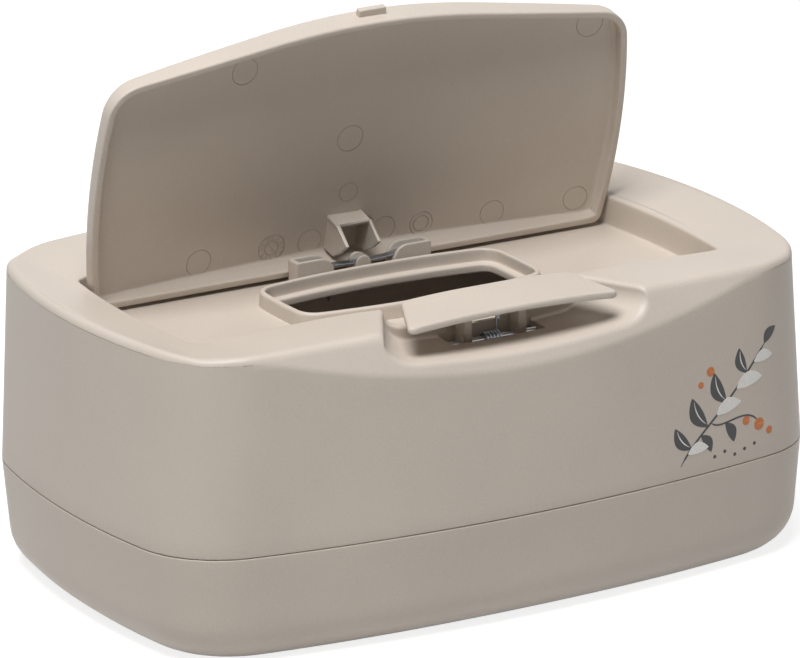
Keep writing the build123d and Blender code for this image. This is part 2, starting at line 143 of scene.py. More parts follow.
# %% [markdown]
# ## Outlines made of arcs
#
# Seen from above, the box, its rim, the lid and the collar are all rectangles whose sides bulge.
# Each is the area inside a few large circles, with its corners rounded. A straight side is just an
# arc of an enormous circle. The outline is found by shrinking the area by the corner radius,
# shooting a ray from an inner pole in each direction, and pushing each point out again along its
# circle's normal: at a corner that push swings round and draws the arc.

# %% Outlines
STRAIGHT = 1e5
NOSE_RADIUS, FLANK = 255.0, np.radians(8.3)


def bulged(half_length, half_depth, long_radius, end_radius, middle_y=0.0):
    """Circles (centre x, centre y, radius) whose common area is a rectangle with bulging sides."""
    return np.array([(0, middle_y + long_radius - half_depth, long_radius),
                     (0, middle_y + half_depth - long_radius, long_radius),
                     (half_length - end_radius, middle_y, end_radius),
                     (end_radius - half_length, middle_y, end_radius)])


def nosed(half_length, front, back, side_radius, side_y):
    """Circles for the lid and its recess: arced sides, a straight back, and a front that is an arc
    with two straight flanks, given as the straight lines that touch it."""
    lean = np.linspace(-FLANK, FLANK, 61)
    out = NOSE_RADIUS - STRAIGHT
    touching = np.stack([out * np.sin(lean), NOSE_RADIUS - front - out * np.cos(lean),
                         np.full(61, STRAIGHT)], axis=1)
    rest = np.array([(half_length - side_radius, side_y, side_radius),
                     (side_radius - half_length, side_y, side_radius),
                     (0, back - STRAIGHT, STRAIGHT)])
    return np.concatenate([touching, rest])


def rounded(circles, corner, pole_y, steps=2880, fine=8):
    """Returns reach(turn, grow): how far the outline, grown by grow mm, lies from the pole at
    (0, pole_y) in the direction turn, which is 0 to the front and grows to the right."""
    turn = np.linspace(-np.pi, np.pi, steps, endpoint=False)
    ray = np.stack([np.sin(turn), -np.cos(turn)], axis=1)
    start = np.array([0.0, pole_y]) - circles[:, :2]
    along = ray @ start.T
    stop = -along + np.sqrt(along**2 - (start**2).sum(axis=1) + (circles[:, 2] - corner) ** 2)
    nearest = stop.argmin(axis=1)
    point = np.array([0.0, pole_y]) + ray * stop.min(axis=1)[:, None]
    push = point - circles[nearest, :2]
    swing = np.unwrap(np.arctan2(push[:, 0], -push[:, 1]))
    knots, place = np.arange(steps + 1), np.arange(steps * fine) / fine
    x = np.interp(place, knots, np.append(point[:, 0], point[0, 0]))
    y = np.interp(place, knots, np.append(point[:, 1], point[0, 1]))
    swing = np.interp(place, knots, np.append(swing, swing[0] + 2 * np.pi))

    def reach(turn, grow=0.0):
        far_x = x + (corner + grow) * np.sin(swing)
        far_y = y - (corner + grow) * np.cos(swing) - pole_y
        return np.interp(turn, np.arctan2(far_x, -far_y), np.hypot(far_x, far_y), period=2 * np.pi)

    return reach


def ring(turn, reach, height, pole_y):
    """Points at the given reach and height, one for each direction."""
    x, y = reach * np.sin(turn), pole_y - reach * np.cos(turn)
    return np.stack(np.broadcast_arrays(x, y, height), axis=-1)


POLE_Y = 12.7
seam_reach = rounded(bulged(125.0, 83.0, 500.0, 284.0), 31.0, POLE_Y)
rim_reach = rounded(bulged(122.4, 80.4, 700.0, 215.0), 31.0, POLE_Y)
recess_reach = rounded(nosed(99.3, 52.4, 42.6, 320.0, 0.0), 4.0, POLE_Y)
lid_plan = nosed(98.7, 51.9, 38.6, 220.0, -1.0)
lid_front_reach, lid_back_reach = rounded(lid_plan, 11.8, POLE_Y), rounded(lid_plan, 2.8, POLE_Y)


def lid_reach(turn, grow=0.0):
    """The lid has broad front corners and tight back ones, and both outlines share their sides."""
    return np.where(np.cos(turn) > 0, lid_front_reach(turn, grow), lid_back_reach(turn, grow))


COLLAR_POLE, COLLAR_CORNER = -0.35, 8.0
collar_ring = bulged(45.6, 21.65, 230.0, 200.0, COLLAR_POLE)
outlines = {"seam": seam_reach, "rim": rim_reach, "recess": recess_reach, "lid": lid_reach}
print("half lengths, mm:", {name: round(float(reach(np.pi / 2)), 1) for name, reach in outlines.items()})

# %% [markdown]
# ## A profile with rounded corners
#
# A moulding has no sharp corners: plastic won't fill them, and they would hurt a hand. So a
# cross-section is given as a few corner points with a rounding at each. The rounding is a rational
# quadratic curve between two points the same distance from the corner. With the cosine of half the
# turn as its middle weight, that curve is exactly an arc, and where nothing turns it stays straight.

# %% Profile carried round an outline
def carry(corners, roundings, spans, arc_points=5, closed=True):
    """Rows of points along a profile whose corners are whole rings (corner x column x 3).
    roundings gives the distance from each corner at which its arc starts, one number or one for
    each column, and spans the number of squares from each arc to the next."""
    corners = np.stack(corners)
    count = len(corners)
    to_last = np.roll(corners, 1, axis=0) - corners
    to_next = np.roll(corners, -1, axis=0) - corners
    to_last /= np.maximum(np.linalg.norm(to_last, axis=-1, keepdims=True), 1e-9)
    to_next /= np.maximum(np.linalg.norm(to_next, axis=-1, keepdims=True), 1e-9)
    cut = np.stack([np.broadcast_to(r, corners.shape[1]) for r in roundings])[..., None]
    enter, leave = corners + to_last * cut, corners + to_next * cut
    turn_cosine = -(to_last * to_next).sum(axis=-1, keepdims=True)
    weight = np.sqrt(np.clip((1 + turn_cosine) / 2, 0.0, 1.0))
    s = np.linspace(0, 1, arc_points)[:, None, None, None]
    first, middle, last = (1 - s) ** 2, 2 * s * (1 - s) * weight, s**2
    arcs = (first * enter + middle * corners + last * leave) / (first + middle + last)
    rows = []
    for i in range(count):
        rounded_here = np.any(cut[i] > 0)
        rows.append(arcs[:, i] if rounded_here else corners[i][None])
        if closed or i < count - 1:
            j = (i + 1) % count
            steps = np.linspace(0, 1, spans[i] + 1)[1:-1, None, None]
            rows.append(leave[i] * (1 - steps) + enter[j] * steps)
    return np.concatenate(rows)


def turn_points(points, angle, hinge_y, hinge_z):
    """Points turned about a line along X by an angle in radians."""
    y, z = points[..., 1] - hinge_y, points[..., 2] - hinge_z
    c, s = np.cos(angle), np.sin(angle)
    return np.stack([points[..., 0], hinge_y + y * c - z * s, hinge_z + y * s + z * c], axis=-1)

# %% [markdown]
# ## The housing
#
# The housing is the upper shell. Its skin is one closed profile carried round the box: up the wall,
# over the rim, down into the recess, across the deck to the mouth, and back along the underside.
# Three things change along the way. A tilted facet cuts the front of the wall, which leaves the
# crescent. The ends of the rim are dished down towards the lid. And a scoop for the thumb is cut
# into the front, which is why the columns of the grid crowd together at its two side walls.

# %% Columns of the housing
SEAM, RIM, DECK, WALL = 36.5, 102.0, 87.6, 2.2
FACET_SLOPE, FACET_FRONT = np.tan(np.radians(24.5)), 73.5
SCOOP_TURN = np.arctan2(35.8, 52.4 + POLE_Y)
SCOOP_FLOOR, FLOOR_RADIUS, SILL, SILL_FRONT = 90.4, 320.0, 96.0, 54.6
MOUTH_ROUND, FLOOR_ROUND, SCOOP_DROP, SCOOP_REACH, MOUTH_REACH = 1.5, 8.0, 9.8, 74.0, 84.0

mouth_arc = np.linspace(0, np.pi / 2, 7)
floor_arc = np.linspace(0, np.pi / 2, 13)
inward = np.concatenate([MOUTH_ROUND * (np.sin(mouth_arc) - 1), FLOOR_ROUND * (1 - np.cos(floor_arc))])
fall = np.concatenate([MOUTH_ROUND * (1 - np.cos(mouth_arc)),
                       SCOOP_DROP - FLOOR_ROUND + FLOOR_ROUND * np.sin(floor_arc)]) / SCOOP_DROP
inner_inward = np.concatenate([-WALL - 0.03 * np.arange(7)[::-1],
                               FLOOR_ROUND - (FLOOR_ROUND + WALL) * np.cos(floor_arc)])
inner_fall = np.concatenate([np.full(7, WALL), np.maximum(
    SCOOP_DROP - FLOOR_ROUND + (FLOOR_ROUND + WALL) * np.sin(floor_arc), WALL)]) / SCOOP_DROP

floor_end = SCOOP_TURN - FLOOR_ROUND / SCOOP_REACH
rim_start = SCOOP_TURN + MOUTH_ROUND / SCOOP_REACH
floor_turns = np.linspace(0, floor_end, 18, endpoint=False)
rim_turns = np.linspace(rim_start, np.pi, 130)[1:]


def mirrored(half, sign=1):
    """One half from 0 to pi made a whole turn."""
    return np.concatenate([sign * half[1:-1][::-1], half])


def columns(wall_inward):
    """Directions of the grid's columns, with a set of them at each side wall of the scoop."""
    wall_turns = SCOOP_TURN - wall_inward[::-1] / SCOOP_REACH
    return mirrored(np.concatenate([floor_turns, wall_turns, rim_turns]), -1)


on_floor, on_rim, wall_share = np.ones(len(floor_turns)), np.zeros(len(rim_turns)), WALL / SCOOP_DROP
turn, inner_turn = columns(inward), columns(inner_inward)
scoop = mirrored(np.concatenate([on_floor, fall[::-1], on_rim]))
inner_scoop = mirrored(np.concatenate([on_floor * (1 + wall_share), inner_fall[::-1], on_rim + wall_share]))
print("columns round the housing:", len(turn))

# %% Rings of the housing
SEAM_GAP, CREASE_LIMIT = 0.25, 62.0


def wall_reach(turn, height, grow=0.0):
    """The wall leans from the seam outline to the rim outline."""
    share = (height - SEAM) / (RIM - SEAM)
    return seam_reach(turn, grow) * (1 - share) + rim_reach(turn, grow) * share


def facet_reach(turn, height, back=0.0):
    """Distance from the pole to the tilted plane of the facet, far away except at the front."""
    towards = np.cos(turn)
    near = POLE_Y + FACET_FRONT + (RIM - height) * FACET_SLOPE - back
    return np.where(towards > 0.1, near / np.maximum(towards, 0.1), 1e4)


def scoop_floor(turn, reach):
    """Height of the arched scoop floor under a point."""
    return SCOOP_FLOOR + (reach * np.sin(turn)) ** 2 / (2 * FLOOR_RADIUS)


def top_edge(turn, scoop, grow=0.0):
    """Reach and height of the wall's upper edge: the rim, or the mouth of the scoop."""
    height = RIM - scoop * (RIM - scoop_floor(turn, MOUTH_REACH))
    reach = np.minimum(wall_reach(turn, height, grow), facet_reach(turn, height, -grow * 1.1))
    return reach, height


bottom = wall_reach(turn, SEAM)
lean = (wall_reach(turn, RIM) - bottom) / (RIM - SEAM)
facet_low = facet_reach(turn, SEAM)
facet_lean = (facet_reach(turn, RIM) - facet_low) / (RIM - SEAM)
crease = SEAM + np.clip((facet_low - bottom) / np.maximum(lean - facet_lean, 1e-6), 0, CREASE_LIMIT)
edge, edge_height = top_edge(turn, scoop)
recess = recess_reach(turn)
sill_line = (POLE_Y + SILL_FRONT) / np.maximum(np.cos(turn), 0.1)
side = np.argmin(np.abs(turn - SCOOP_TURN))
share = (sill_line[side] - recess[side]) / (edge[side] - recess[side])
foot = np.where(scoop > 0, sill_line, recess + share * (edge - recess))
foot_height = RIM - np.minimum(scoop, 1) * (RIM - scoop_floor(turn, foot))
top_height = RIM - scoop * (RIM - SILL)
mouth = rounded(collar_ring, COLLAR_CORNER, POLE_Y)(turn, -4.0)
inner_edge, inner_height = top_edge(inner_turn, inner_scoop, -WALL)
under = np.minimum(recess_reach(inner_turn, WALL), inner_edge - 1.0)


def at(reach, height):
    return ring(turn, reach, height, POLE_Y)


def inside(reach, height):
    return ring(inner_turn, reach, height, POLE_Y)


housing_corners = [
    at(bottom, SEAM + SEAM_GAP), at(wall_reach(turn, crease), crease), at(edge, edge_height),
    at(foot + 0.25 * (1 - scoop), foot_height), at(foot, top_height), at(recess, top_height),
    at(recess, DECK), at(mouth, DECK), at(mouth, DECK - WALL),
    inside(under, DECK - WALL), inside(under, inner_height), inside(inner_edge, inner_height),
    inside(wall_reach(inner_turn, SEAM, -WALL), SEAM + SEAM_GAP)]
rim_round = 2.4 - 0.6 * scoop
housing_roundings = [0.35, 1.2, rim_round, 0.1 + 0.9 * scoop, 0.1 + 0.6 * scoop, 1.0, 0.6,
                     0, 0, 0, 0, 0, 0]
housing_spans = [12, 7, 14, 2, 3, 5, 12, 1, 6, 3, 6, 8, 1]
skin = carry(housing_corners, housing_roundings, housing_spans)
print("housing grid:", skin.shape)

# %% [markdown]
# ### The dish of the rim
#
# Beside the lid the rim sinks by about four millimetres, and the drop fades out towards the outer
# edge and along the front. It is added afterwards as a displacement: a point loses the drop in
# full at rim height and nothing at the deck, so the recess wall shortens with the rim above it.

# %% Dish
DISH_DEPTH, DISH_START, DISH_END, DISH_BLEND = 4.2, 40.0, 99.3, 9
DISH_EDGE, EDGE_RADIUS = 119.9, 215.0
DISH_FRONT, FRONT_FADE, DISH_BACK, BACK_FADE = -71.0, 33.1, 77.9, 35.3


def rim_drop(x, y):
    """Drop = depth x (smooth step along the length) x (least of three fades, softly blended)."""
    edge_x = DISH_EDGE - y * y / (2 * EDGE_RADIUS)
    along = np.clip((np.abs(x) - DISH_START) / (DISH_END - DISH_START), 0, 1)
    fades = np.stack([(edge_x - np.abs(x)) / (edge_x - DISH_END), (y - DISH_FRONT) / FRONT_FADE,
                      (DISH_BACK - y) / BACK_FADE])
    least = -np.log(np.exp(-DISH_BLEND * fades).sum(axis=0)) / DISH_BLEND
    return DISH_DEPTH * along**2 * (3 - 2 * along) * np.clip(least, 0, 1)


depth_share = np.clip((skin[..., 2] - DECK) / (RIM - DECK), 0, 1)
skin[..., 2] -= rim_drop(skin[..., 0], skin[..., 1]) * depth_share
housing = write_piece("housing_shell", [(skin, True, True)])
describe(housing)

# %% [markdown]
# ### Holes through the shell
#
# Two slots in the deck let the cheeks of the lid's hood through, and a hole in the scoop floor
# opens the well where the button turns. They don't follow the grid, so they are cut out of it with
# a Boolean modifier. The cutter is thrown away once the cut is applied.

# %% Plates and cuts
def plate_mesh(outline, axis, low, high):
    """Vertices and faces of a flat plate: an outline of (a, b) points in mm, extruded along an
    axis. The outline lies in Y-Z for axis 0, in X-Z for axis 1 and in X-Y for axis 2."""
    outline = np.asarray(outline, float)
    count = len(outline)
    points = np.zeros((2 * count, 3))
    others = [i for i in range(3) if i != axis]
    points[:, others] = np.tile(outline, (2, 1))
    points[:, axis] = np.repeat([low, high], count)
    corner = np.arange(count)
    following = (corner + 1) % count
    sides = np.stack([corner, following, following + count, corner + count], axis=1).tolist()
    return points, sides + [corner.tolist(), (corner + count)[::-1].tolist()]


def soften(piece, width, segments=3, angle=35):
    """Rounds the edges of a piece that turn by more than an angle in degrees."""
    bevel = piece.modifiers.new("soft_edges", "BEVEL")
    bevel.width, bevel.segments, bevel.limit_method = width * MM, segments, "ANGLE"
    bevel.angle_limit = np.radians(angle)


def write_plates(name, plates, soft_edge=0.0):
    """One object from several plates (outline, axis, low, high), with its edges rounded."""
    points, faces, first = [], [], 0
    for plate in plates:
        corners, sides = plate_mesh(*plate)
        points.append(corners * MM)
        faces += [[first + i for i in side] for side in sides]
        first += len(corners)
    mesh = bpy.data.meshes.new(name)
    mesh.from_pydata(np.concatenate(points).tolist(), [], faces)
    finish_mesh(mesh, SHARP_ANGLE)
    piece = bpy.data.objects.new(name, mesh)
    bpy.context.collection.objects.link(piece)
    if soft_edge:
        soften(piece, soft_edge)
    return piece


def cut_out(piece, tool):
    """Cuts the tool out of the piece, keeps the result as its mesh and removes the tool."""
    cut = piece.modifiers.new("cut", "BOOLEAN")
    cut.operation, cut.solver, cut.object = "DIFFERENCE", "EXACT", tool
    graph = bpy.context.evaluated_depsgraph_get()
    mesh = bpy.data.meshes.new_from_object(piece.evaluated_get(graph))
    piece.modifiers.clear()
    piece.data = mesh
    mesh.shade_smooth()
    mesh.set_sharp_from_angle(angle=np.radians(SHARP_ANGLE))
    bpy.data.objects.remove(tool)


def sided(sign, near, far):
    """Both ends of a stretch on one side of the middle, the lower one first."""
    return sorted((sign * near, sign * far))


def rectangle(a0, a1, b0, b1):
    return [(a0, b0), (a1, b0), (a1, b1), (a0, b1)]


def rounded_rectangle(a0, a1, b0, b1, radii, points=6):
    """Rectangle with a rounding of its own at each corner, counted from the lower left."""
    turns = np.linspace(0, np.pi / 2, points)
    outline = []
    for (a, b), (sa, sb), start, radius in zip(
            rectangle(a0, a1, b0, b1), [(1, 1), (-1, 1), (-1, -1), (1, -1)],
            [np.pi, 1.5 * np.pi, 0.0, 0.5 * np.pi], radii):
        if radius == 0:
            outline.append([(a, b)])
        else:
            outline.append(np.stack([a + sa * radius + radius * np.cos(start + turns),
                                     b + sb * radius + radius * np.sin(start + turns)], axis=1))
    return np.concatenate(outline)


def cylinder_outline(a, b, radius, points=40):
    around = np.linspace(0, 2 * np.pi, points, endpoint=False)
    return np.stack([a + radius * np.cos(around), b + radius * np.sin(around)], axis=1)


SLOT_NEAR, SLOT_FAR, SLOT_FRONT, SLOT_BACK = 4.6, 7.4, 22.5, 33.4
WELL_HALF, WELL_FRONT, WELL_BACK = 17.0, -64.0, -54.65
NOTCH_HALF, NOTCH_FRONT, NOTCH_BACK, NOTCH_FLOOR = 5.8, -56.8, -51.3, 93.2
CUT_LOW, SLOT_CUT_HIGH, WELL_CUT_HIGH = 80.0, 91.0, 95.0

well_mouth = rectangle(-WELL_HALF, WELL_HALF, WELL_FRONT, WELL_BACK)
notch = rectangle(-NOTCH_HALF, NOTCH_HALF, NOTCH_FRONT, NOTCH_BACK)
holes = [(rectangle(*sided(sign, SLOT_NEAR, SLOT_FAR), SLOT_FRONT, SLOT_BACK), 2, CUT_LOW, SLOT_CUT_HIGH)
         for sign in (-1, 1)]
holes.append((well_mouth, 2, CUT_LOW, WELL_CUT_HIGH))
cut_out(housing, write_plates("holes", holes))
cut_out(housing, write_plates("notch", [(notch, 2, NOTCH_FLOOR, RIM + 1)]))
describe(housing)

# %% [markdown]
# ### The collar round the mouth
#
# A raised collar keeps the wipes from dragging on the deck, and the lid's seal sits over it. Its
# section is a thin upright wall with a lip turned in at the foot, closed on itself.

# %% Collar
COLLAR_TOP = 92.65
collar_reach = rounded(collar_ring, COLLAR_CORNER, COLLAR_POLE)
around = np.linspace(-np.pi, np.pi, 240, endpoint=False)


def collar(grow, height):
    return ring(around, collar_reach(around, grow), height, COLLAR_POLE)


collar_profile = carry(
    [collar(0.35, DECK - 0.3), collar(0.0, COLLAR_TOP), collar(-1.8, COLLAR_TOP), collar(-1.9, DECK + 0.75),
     collar(-4.4, DECK + 0.6), collar(-4.4, DECK - WALL)],
    [0, 0.85, 0.55, 0.3, 0.8, 0.3], [5, 1, 4, 2, 2, 3])
collar_piece = write_piece("mouth_collar", [(collar_profile, True, True)], 50)
describe(collar_piece)

# %% [markdown]
# ### The spring seat
#
# Behind the collar stand two channel blocks with a saddle between them. They carry a bowed steel
# leaf. Each block is a rounded box with its channel cut out along an arc, so that the leaf rests on
# a bed of its own shape.

# %% Spring seat
LEAF_LOW, LEAF_RADIUS, LEAF_HALF = 92.0, 130.0, 23.6
BLOCK_NEAR, BLOCK_FAR, BLOCK_TOP, BLOCK_ROUND, BLOCK_EASE = 11.3, 25.1, 96.0, 5.0, 0.6
SEAT_FOOT, SEAT_FRONT, SEAT_BACK = DECK - 0.4, 23.4, 29.8
CHANNEL_NEAR, CHANNEL_FAR, CHANNEL_FRONT, CHANNEL_BACK = 5.0, 23.8, 24.7, 28.5
SADDLE_FRONT, SADDLE_CENTRE, SADDLE_RADIUS, SADDLE_CUT = 24.1, 91.7, 2.9, 6.0


def leaf_height(x):
    """Underside of the leaf: an arc that is lowest in the middle."""
    return LEAF_LOW + LEAF_RADIUS - np.sqrt(LEAF_RADIUS**2 - x**2)


def channel_outline(x0, x1):
    x = np.linspace(x0, x1, 12)
    bed = np.stack([x, leaf_height(x)], axis=1)
    return np.concatenate([bed, [(x1, 110), (x0, 110)]])


def cut_channel(piece, x0, x1):
    """Cuts the leaf's channel out of a piece between two places along X."""
    cut_out(piece, write_plates("channel", [(channel_outline(x0, x1), 1, CHANNEL_FRONT, CHANNEL_BACK)]))


seat_blocks = []
for name, sign in (("spring_block_left", -1), ("spring_block_right", 1)):
    rounds = (BLOCK_ROUND, BLOCK_EASE) if sign < 0 else (BLOCK_EASE, BLOCK_ROUND)
    outline = rounded_rectangle(*sided(sign, BLOCK_NEAR, BLOCK_FAR), SEAT_FOOT, BLOCK_TOP, (0, 0, *rounds))
    block = write_plates(name, [(outline, 1, SEAT_FRONT, SEAT_BACK)])
    cut_channel(block, *sided(sign, CHANNEL_NEAR, CHANNEL_FAR))
    seat_blocks.append(block)
arch = np.linspace(0, np.pi, 15)
hump = np.concatenate([
    [(SADDLE_RADIUS, SEAT_FOOT)],
    np.stack([SADDLE_RADIUS * np.cos(arch), SADDLE_CENTRE + SADDLE_RADIUS * np.sin(arch)], axis=1),
    [(-SADDLE_RADIUS, SEAT_FOOT)]])
saddle = write_plates("spring_saddle", [(hump, 1, SADDLE_FRONT, SEAT_BACK)])
cut_channel(saddle, -SADDLE_CUT, SADDLE_CUT)
for piece in [*seat_blocks, saddle]:
    soften(piece, 0.22, 2, 50)
    describe(piece)

# %% [markdown]
# ### The leaf spring
#
# A strip of blue-grey spring steel, half a millimetre thick. Its section is a thin rectangle with
# eased edges, carried along the arc of its bed.

# %% Leaf spring
LEAF_FRONT, LEAF_BACK, LEAF_THICK, LEAF_EASE, BED_GAP = 24.9, 28.3, 0.5, 0.12, 0.02
leaf_x = np.linspace(-LEAF_HALF, LEAF_HALF, 60)[:, None]
section = rounded_rectangle(LEAF_FRONT, LEAF_BACK, BED_GAP, BED_GAP + LEAF_THICK, [LEAF_EASE] * 4, 3)
section_y, section_z = section[None, :, 0], leaf_height(leaf_x) + section[None, :, 1]
leaf_points = np.stack(np.broadcast_arrays(leaf_x, section_y, section_z), axis=-1)
ends = [np.repeat(row.mean(axis=0)[None], len(section), axis=0) for row in (leaf_points[0], leaf_points[-1])]
leaf = write_piece("bowed_leaf", [(np.concatenate([ends[0][None], leaf_points, ends[1][None]]), False, True)])
describe(leaf)

# %% [markdown]
# ### Inside the housing
#
# Three small forms hang under the skin: the well that holds the button's axle, the two blind
# sockets of the hinge pins, and at the back a clip tongue between two ribs, with two round pips.

# %% Well, pin sockets and tongue
HINGE_Y, HINGE_Z = 35.0, 93.2
WELL_FLOOR, WELL_TOP, BACK_OVERLAP = 84.0, 88.4, 0.03
SOCKET_NEAR, SOCKET_FAR, SOCKET_RADIUS = 99.4, 105.0, 3.0
TONGUE_HALF, TONGUE_LOW, TONGUE_HIGH, TONGUE_FRONT, TONGUE_BACK = 14.6, 62.0, 84.0, 77.7, 80.0
RIB_NEAR, RIB_FAR, RIB_FRONT = 16.0, 17.4, 76.5
PIP_ASIDE, PIP_HEIGHT, PIP_RADIUS, PIP_BACK = 8.5, 73.0, 3.2, 78.2

well_outside = rectangle(-WELL_HALF - WALL, WELL_HALF + WALL, WELL_FRONT - WALL, WELL_BACK + BACK_OVERLAP)
well = write_plates("button_well", [(well_outside, 2, WELL_FLOOR - WALL, WELL_TOP)])
cut_out(well, write_plates("hollow", [(well_mouth, 2, WELL_FLOOR, WELL_CUT_HIGH)]))
socket = cylinder_outline(HINGE_Y, HINGE_Z, SOCKET_RADIUS)
socket_plates = [(socket, 0, *sided(sign, SOCKET_NEAR, SOCKET_FAR)) for sign in (-1, 1)]
sockets = write_plates("pin_sockets", socket_plates, 0.3)
tongue_face = rectangle(-TONGUE_HALF, TONGUE_HALF, TONGUE_LOW, TONGUE_HIGH)
tongue_plates = [(tongue_face, 1, TONGUE_FRONT, TONGUE_BACK)]
for sign in (-1, 1):
    rib = rectangle(*sided(sign, RIB_NEAR, RIB_FAR), TONGUE_LOW, TONGUE_HIGH)
    tongue_plates.append((rib, 1, RIB_FRONT, TONGUE_BACK))
for sign in (-1, 1):
    pip = cylinder_outline(sign * PIP_ASIDE, PIP_HEIGHT, PIP_RADIUS)
    tongue_plates.append((pip, 1, RIB_FRONT, PIP_BACK))
tongue = write_plates("rear_tongue", tongue_plates, 0.3)
for piece in (well, sockets, tongue):
    describe(piece)

# %% [markdown]
# ## The tray
#
# The deep lower half is the simplest piece: one closed profile from the middle of its floor, round
# a generous bottom edge, up the wall, over the upright lip that locates the housing, and back down.

# %% Tray
TRAY_ROUND, TAPER, LIP_OUTSIDE, LIP_INSIDE, LIP_TOP, LIP_FOOT = 12.9, 3.0, -2.7, -4.3, 41.5, 30.5
tray_turn = np.linspace(-np.pi, np.pi, 300, endpoint=False)


def tray_ring(grow, height):
    return ring(tray_turn, seam_reach(tray_turn, grow), height, POLE_Y)


def pole(height, turns):
    """A ring shrunk to one point, with as many copies of it as there are directions."""
    return np.tile([0.0, POLE_Y, height], (len(turns), 1))


tray_profile = carry(
    [pole(0.0, tray_turn), tray_ring(-TAPER, 0.0), tray_ring(0.0, SEAM), tray_ring(LIP_OUTSIDE, SEAM),
     tray_ring(LIP_OUTSIDE, LIP_TOP), tray_ring(LIP_INSIDE, LIP_TOP), tray_ring(LIP_INSIDE, LIP_FOOT),
     tray_ring(LIP_OUTSIDE, LIP_FOOT), tray_ring(-TAPER - WALL, WALL), pole(WALL, tray_turn)],
    [0, TRAY_ROUND, 0.3, 0.0, 0.3, 0.3, 0.3, 0.0, 10.8, 0],
    [14, 8, 2, 3, 1, 4, 1, 8, 14, 1], arc_points=9, closed=False)
tray = write_piece("deep_tray", [(tray_profile, False, True)])
describe(tray)

# %% [markdown]
# ## The lid
#
# The lid is drawn shut, where its sizes are easy to read, and then every point is turned about the
# hinge line. It is first drawn with a flat top. The crown then lowers the top and the panel by the
# square of the distance from the middle, fades out down the skirt, and leaves the hem level.

# %% Lid skin
OPEN = np.radians(-76.7)
SKIRT, LID_TOP, CROWN_RADIUS, LID_WALL = 89.4, 100.2, 1017.2, 2.4
lid_turn = np.linspace(-np.pi, np.pi, 420, endpoint=False)


def lid_ring(grow, height):
    return ring(lid_turn, lid_reach(lid_turn, grow), height, POLE_Y)


PANEL = LID_TOP - LID_WALL
lid_profile = carry(
    [pole(LID_TOP, lid_turn), lid_ring(0.0, LID_TOP), lid_ring(0.0, SKIRT), lid_ring(-LID_WALL, SKIRT),
     lid_ring(-LID_WALL, PANEL), pole(PANEL, lid_turn)],
    [0, 2.4, 0.8, 0.5, 2.0, 0], [24, 4, 1, 4, 24, 1], arc_points=7, closed=False)
share = np.clip((lid_profile[..., 2] - SKIRT) / (PANEL - SKIRT), 0, 1)
lid_profile[..., 2] -= share * lid_profile[..., 0] ** 2 / (2 * CROWN_RADIUS)
lid = write_piece("flip_lid", [(turn_points(lid_profile, OPEN, HINGE_Y, HINGE_Z), False, True)])
describe(lid)

# %% [markdown]
# ### Catch and hood
#
# The catch is a short tab that the button's hook holds down. The hood is a plate between two
# cheeks, which go down through the slots of the deck as the lid shuts. It is there to ride on the
# leaf spring, but as drawn here the cheeks cut through the leaf from about twenty degrees on.

# %% Catch and hood
def turned_open(piece):
    """Turns a piece that was drawn on the shut lid into its open place."""
    count = len(piece.data.vertices)
    flat = np.empty(3 * count)
    piece.data.vertices.foreach_get("co", flat)
    flat = turn_points(flat.reshape(-1, 3) / MM, OPEN, HINGE_Y, HINGE_Z) * MM
    piece.data.vertices.foreach_set("co", flat.ravel())
    piece.data.update()


CATCH_HALF, CATCH_LOW, CATCH_HIGH, CATCH_FRONT, CATCH_BACK = 5.0, 94.0, 96.4, -54.3, -50.7
HOOD_TOP, HOOD_WALL, CHEEK_NEAR, CHEEK_FAR = 98.2, 1.2, 5.4, 6.6
BROW_FOOT_Y, BROW_TOP_Y, BROW_FOOT = 22.9, 22.6, 90.7

catch_face = rectangle(-CATCH_HALF, CATCH_HALF, CATCH_LOW, CATCH_HIGH)
catch = write_plates("lid_catch", [(catch_face, 1, CATCH_FRONT, CATCH_BACK)], 0.4)
cheek = [(27.2, 83.2), (BROW_FOOT_Y, BROW_FOOT), (BROW_TOP_Y, HOOD_TOP), (HINGE_Y, HOOD_TOP),
         (HINGE_Y, 91.6), (31.8, 87.4)]
brow = [(BROW_FOOT_Y, BROW_FOOT), (BROW_TOP_Y, HOOD_TOP), (BROW_TOP_Y + HOOD_WALL, HOOD_TOP),
        (BROW_FOOT_Y + HOOD_WALL, BROW_FOOT)]
hood = write_plates("lid_hood", [(cheek, 0, CHEEK_NEAR, CHEEK_FAR), (cheek, 0, -CHEEK_FAR, -CHEEK_NEAR),
                                 (brow, 0, -CHEEK_FAR, CHEEK_FAR)], 0.35)
for piece in (catch, hood):
    turned_open(piece)
    describe(piece)

# %% [markdown]
# ## The button
#
# The press button is a flared plate, arched from side to side, that falls a little to the front.
# It is drawn flat first, with its edges rounded, and then every point is lifted onto the arch.
# Below it, two arms reach down to the axle, and a hook between them holds the catch.

# %% Button
BUTTON_FRONT, BUTTON_BACK, BUTTON_POLE, BUTTON_TOP = -74.1, -55.2, -64.5, 106.2
FRONT_HALF, BACK_HALF, BUTTON_CORNER, BUTTON_THICK = 38.9, 31.0, 1.5, 2.2
BUTTON_FALL, ARCH_RADIUS = 2.6, 470.0
button_length = BUTTON_BACK - BUTTON_FRONT
side_lean = np.arctan2(FRONT_HALF - BACK_HALF, button_length)
plate_circles = [(0.0, BUTTON_FRONT + STRAIGHT, STRAIGHT), (0.0, BUTTON_BACK - STRAIGHT, STRAIGHT)]
for sign in (-1, 1):
    normal = np.array([sign * np.cos(side_lean), np.sin(side_lean)])
    edge_point = np.array([sign * FRONT_HALF, BUTTON_FRONT])
    plate_circles.append((*(edge_point - normal * STRAIGHT), STRAIGHT))
button_turn = np.linspace(-np.pi, np.pi, 320, endpoint=False)
flat_reach = rounded(np.array(plate_circles), BUTTON_CORNER, BUTTON_POLE)


